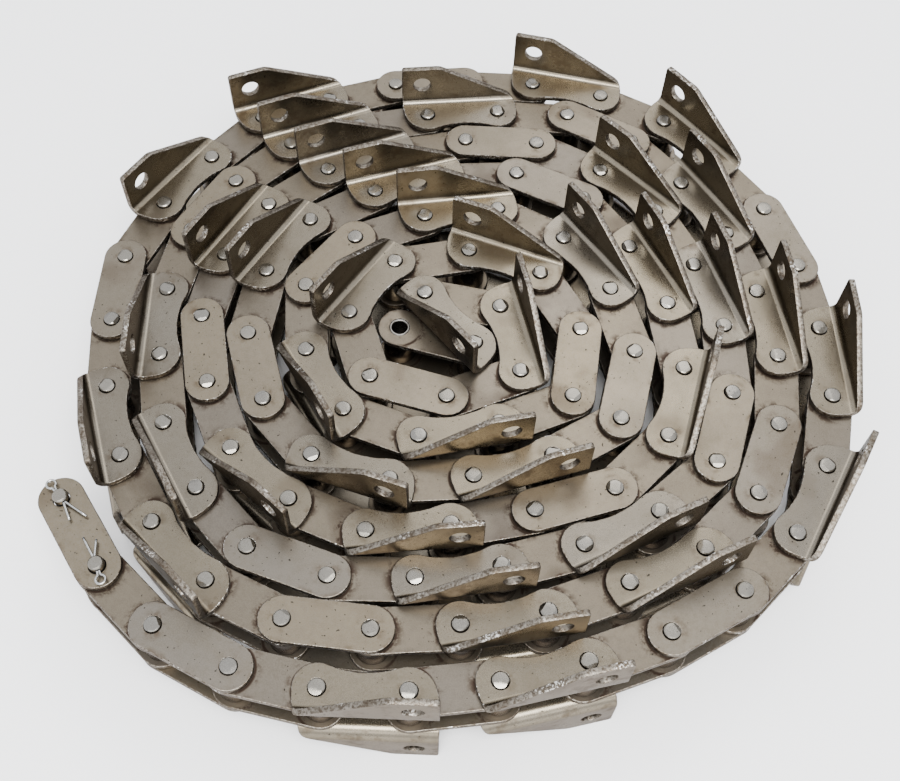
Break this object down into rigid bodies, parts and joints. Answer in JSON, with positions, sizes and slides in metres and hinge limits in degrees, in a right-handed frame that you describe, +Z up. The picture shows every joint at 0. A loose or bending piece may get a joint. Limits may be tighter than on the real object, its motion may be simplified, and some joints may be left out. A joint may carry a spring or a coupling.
{
  "type": "roller chain",
  "caption": "Steel conveyor roller chain coiled flat, with bent drilled lugs on both sides of its attachment links and a cottered connecting link at its free end",
  "frame": {"origin": "centre of the coil's bounding box, on the floor that the lower lugs rest on", "axes": "+Z up along the chain's pins; +X to the right, with the free end of the chain at the left; +Y away from the viewer"},
  "size_m": [0.4104, 0.4026, 0.0842],
  "materials": {
    "plain_plate": "bare mild steel, drawn grey-tan, oiled",
    "attachment_plate": "bare mild steel with bright worn bend",
    "inner_plate": "bare mild steel, darker, oil stained",
    "pin": "turned steel, riveted bright end",
    "bush": "turned steel",
    "roller": "rolled steel, brown",
    "cotter": "bright wire",
    "coil_run": "bare mild steel, oiled"
  },
  "bodies": {
    "coil": {"coil_run_1": "coil_run", "coil_run_2": "coil_run", "coil_run_3": "coil_run", "coil_run_4": "coil_run", "coil_run_5": "coil_run", "coil_run_6": "coil_run", "coil_run_7": "coil_run"},
    "connecting_link": {"connecting_link_cover_plate": "plain_plate", "connecting_link_fixed_plate": "plain_plate", "connecting_link_pin_a": "pin", "connecting_link_cotter_a": "cotter", "connecting_link_pin_b": "pin", "connecting_link_cotter_b": "cotter"},
    "outer_link_2": {"plain_link_2_top_plate": "plain_plate", "plain_link_2_bottom_plate": "plain_plate", "plain_link_2_pin_a": "pin", "plain_link_2_pin_b": "pin"},
    "outer_link_3": {"attachment_link_3_top_plate": "attachment_plate", "attachment_link_3_bottom_plate": "attachment_plate", "attachment_link_3_pin_a": "pin", "attachment_link_3_pin_b": "pin"},
    "outer_link_4": {"attachment_link_4_top_plate": "attachment_plate", "attachment_link_4_bottom_plate": "attachment_plate", "attachment_link_4_pin_a": "pin", "attachment_link_4_pin_b": "pin"},
    "outer_link_5": {"plain_link_5": "plain_plate"},
    "outer_link_6": {"attachment_link_6": "attachment_plate"},
    "outer_link_7": {"attachment_link_7": "attachment_plate"},
    "inner_link_1": {"inner_link_1_top_plate": "inner_plate", "inner_link_1_bottom_plate": "inner_plate", "inner_link_1_bush_a": "bush", "inner_link_1_bush_b": "bush"},
    "inner_link_2": {"inner_link_2_top_plate": "inner_plate", "inner_link_2_bottom_plate": "inner_plate", "inner_link_2_bush_a": "bush", "inner_link_2_bush_b": "bush"},
    "inner_link_3": {"inner_link_3_top_plate": "inner_plate", "inner_link_3_bottom_plate": "inner_plate", "inner_link_3_bush_a": "bush", "inner_link_3_bush_b": "bush"},
    "inner_link_4": {"inner_link_4_top_plate": "inner_plate", "inner_link_4_bottom_plate": "inner_plate", "inner_link_4_bush_a": "bush", "inner_link_4_bush_b": "bush"},
    "inner_link_5": {"inner_link_5": "inner_plate"},
    "inner_link_6": {"inner_link_6": "inner_plate"},
    "end_link": {"end_link_top_plate": "inner_plate", "end_link_bottom_plate": "inner_plate", "end_link_bush_a": "bush", "end_link_bush_b": "bush"},
    "inner_link_1_roller_a": {"inner_link_1_roller_a": "roller"},
    "inner_link_1_roller_b": {"inner_link_1_roller_b": "roller"},
    "inner_link_2_roller_a": {"inner_link_2_roller_a": "roller"},
    "inner_link_2_roller_b": {"inner_link_2_roller_b": "roller"},
    "inner_link_3_roller_a": {"inner_link_3_roller_a": "roller"},
    "inner_link_3_roller_b": {"inner_link_3_roller_b": "roller"},
    "inner_link_4_roller_a": {"inner_link_4_roller_a": "roller"},
    "inner_link_4_roller_b": {"inner_link_4_roller_b": "roller"},
    "end_link_roller_a": {"end_link_roller_a": "roller"},
    "end_link_roller_b": {"end_link_roller_b": "roller"}
  },
  "joints": [
    {"name": "hinge_13", "type": "hinge", "parent": "coil", "child": "outer_link_7", "pos_m": [0.19094, 0.00949, 0.0421], "axis": [0, 0, 1], "range_deg": [0, 27]},
    {"name": "hinge_12", "type": "hinge", "parent": "outer_link_7", "child": "inner_link_6", "pos_m": [0.19134, -0.0319, 0.0421], "axis": [0, 0, 1], "range_deg": [0, 33]},
    {"name": "hinge_11", "type": "hinge", "parent": "inner_link_6", "child": "outer_link_6", "pos_m": [0.18233, -0.07231, 0.0421], "axis": [0, 0, 1], "range_deg": [0, 36]},
    {"name": "hinge_10", "type": "hinge", "parent": "outer_link_6", "child": "inner_link_5", "pos_m": [0.16232, -0.10856, 0.0421], "axis": [0, 0, 1], "range_deg": [0, 36]},
    {"name": "hinge_9", "type": "hinge", "parent": "inner_link_5", "child": "outer_link_5", "pos_m": [0.13323, -0.13801, 0.0421], "axis": [0, 0, 1], "range_deg": [0, 36]},
    {"name": "hinge_8", "type": "hinge", "parent": "outer_link_5", "child": "inner_link_4", "pos_m": [0.0972, -0.1584, 0.0421], "axis": [0, 0, 1], "range_deg": [0, 29]},
    {"name": "hinge_7", "type": "hinge", "parent": "inner_link_4", "child": "outer_link_4", "pos_m": [0.05831, -0.1726, 0.0421], "axis": [0, 0, 1], "range_deg": [0, 27]},
    {"name": "hinge_6", "type": "hinge", "parent": "outer_link_4", "child": "inner_link_3", "pos_m": [0.01801, -0.18207, 0.0421], "axis": [0, 0, 1], "range_deg": [0, 26]},
    {"name": "hinge_5", "type": "hinge", "parent": "inner_link_3", "child": "outer_link_3", "pos_m": [-0.02308, -0.18709, 0.0421], "axis": [0, 0, 1], "range_deg": [0, 29]},
    {"name": "hinge_4", "type": "hinge", "parent": "outer_link_3", "child": "inner_link_2", "pos_m": [-0.06447, -0.18585, 0.0421], "axis": [0, 0, 1], "range_deg": [0, 31]},
    {"name": "hinge_3", "type": "hinge", "parent": "inner_link_2", "child": "outer_link_2", "pos_m": [-0.10484, -0.17671, 0.0421], "axis": [0, 0, 1], "range_deg": [0, 35]},
    {"name": "hinge_2", "type": "hinge", "parent": "outer_link_2", "child": "inner_link_1", "pos_m": [-0.14149, -0.15745, 0.0421], "axis": [0, 0, 1], "range_deg": [0, 36]},
    {"name": "hinge_1", "type": "hinge", "parent": "inner_link_1", "child": "connecting_link", "pos_m": [-0.17124, -0.12866, 0.0421], "axis": [0, 0, 1], "range_deg": [-4, 33]},
    {"name": "end_hinge", "type": "hinge", "parent": "coil", "child": "end_link", "pos_m": [0.00833, -0.00129, 0.0421], "axis": [0, 0, 1], "range_deg": [0, 1.5]},
    {"name": "roller_1a_spin", "type": "hinge", "parent": "inner_link_1", "child": "inner_link_1_roller_a", "pos_m": [-0.17124, -0.12866, 0.0421], "axis": [0, 0, 1], "continuous": true},
    {"name": "roller_1b_spin", "type": "hinge", "parent": "inner_link_1", "child": "inner_link_1_roller_b", "pos_m": [-0.14149, -0.15745, 0.0421], "axis": [0, 0, 1], "continuous": true},
    {"name": "roller_2a_spin", "type": "hinge", "parent": "inner_link_2", "child": "inner_link_2_roller_a", "pos_m": [-0.10484, -0.17671, 0.0421], "axis": [0, 0, 1], "continuous": true},
    {"name": "roller_2b_spin", "type": "hinge", "parent": "inner_link_2", "child": "inner_link_2_roller_b", "pos_m": [-0.06447, -0.18585, 0.0421], "axis": [0, 0, 1], "continuous": true},
    {"name": "roller_3a_spin", "type": "hinge", "parent": "inner_link_3", "child": "inner_link_3_roller_a", "pos_m": [-0.02308, -0.18709, 0.0421], "axis": [0, 0, 1], "continuous": true},
    {"name": "roller_3b_spin", "type": "hinge", "parent": "inner_link_3", "child": "inner_link_3_roller_b", "pos_m": [0.01801, -0.18207, 0.0421], "axis": [0, 0, 1], "continuous": true},
    {"name": "roller_4a_spin", "type": "hinge", "parent": "inner_link_4", "child": "inner_link_4_roller_a", "pos_m": [0.05831, -0.1726, 0.0421], "axis": [0, 0, 1], "continuous": true},
    {"name": "roller_4b_spin", "type": "hinge", "parent": "inner_link_4", "child": "inner_link_4_roller_b", "pos_m": [0.0972, -0.1584, 0.0421], "axis": [0, 0, 1], "continuous": true},
    {"name": "end_roller_a_spin", "type": "hinge", "parent": "end_link", "child": "end_link_roller_a", "pos_m": [0.00833, -0.00129, 0.0421], "axis": [0, 0, 1], "continuous": true},
    {"name": "end_roller_b_spin", "type": "hinge", "parent": "end_link", "child": "end_link_roller_b", "pos_m": [-0.03148, 0.01008, 0.0421], "axis": [0, 0, 1], "continuous": true}
  ]
}
